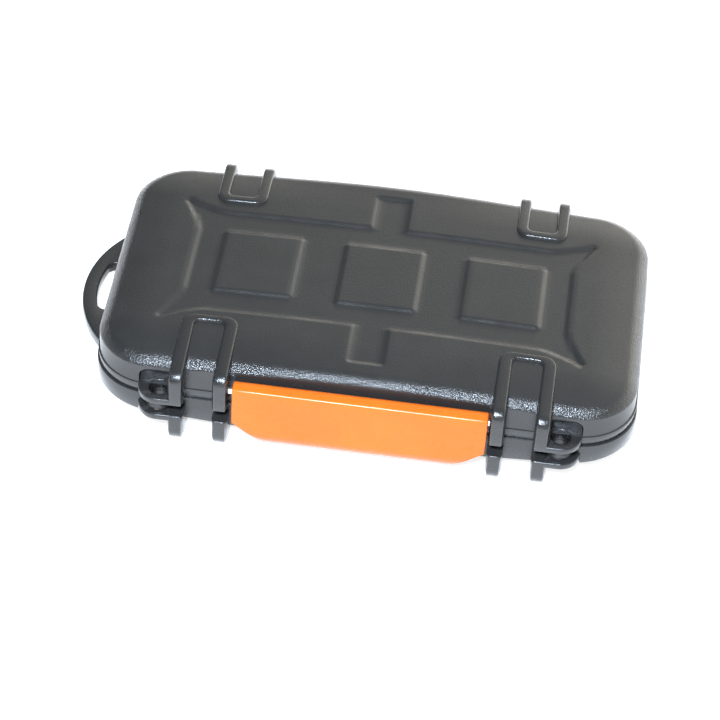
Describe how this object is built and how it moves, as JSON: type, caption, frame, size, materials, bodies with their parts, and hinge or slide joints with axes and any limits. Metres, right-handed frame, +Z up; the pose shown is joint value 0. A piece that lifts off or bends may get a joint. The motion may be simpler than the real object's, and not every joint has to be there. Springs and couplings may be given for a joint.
{
  "type": "memory card case",
  "caption": "Pocket clamshell case for memory cards: crowned lid and base on two pin hinges, snap latch, sealing ring, soft card inserts, corner lugs and a lanyard loop.",
  "frame": {"origin": "middle of the case walls in plan, on the surface that the closed case stands on", "axes": "+X along the case to the right, towards the end without the lanyard loop; +Y to the hinges at the rear, so the latch faces -Y; +Z up through the lid"},
  "size_m": [0.1286, 0.0786, 0.0216],
  "materials": {
    "case_plastic": "black moulded plastic, finely textured roof, smooth satin side walls",
    "insert_foam": "soft closed-cell foam rubber, matte",
    "pin_steel": "plain drawn steel wire",
    "seal_rubber": "smooth silicone rubber",
    "latch_plastic": "orange moulded plastic, satin gloss"
  },
  "bodies": {
    "base": {"base_shell": "case_plastic", "base_insert": "insert_foam", "hinge_pin_left": "pin_steel", "hinge_pin_right": "pin_steel"},
    "lid": {"lid_shell": "case_plastic", "lid_insert": "insert_foam", "seal_ring": "seal_rubber", "latch_pin": "pin_steel"},
    "latch": {"latch": "latch_plastic"}
  },
  "joints": [
    {"name": "lid_hinge", "type": "hinge", "parent": "base", "child": "lid", "pos_m": [0, 0.0372, 0.0095], "axis": [-1, 0, 0], "range_deg": [0, 180]},
    {"name": "latch_hinge", "type": "hinge", "parent": "lid", "child": "latch", "pos_m": [0, -0.0366, 0.016], "axis": [-1, 0, 0], "range_deg": [0, 100]}
  ]
}
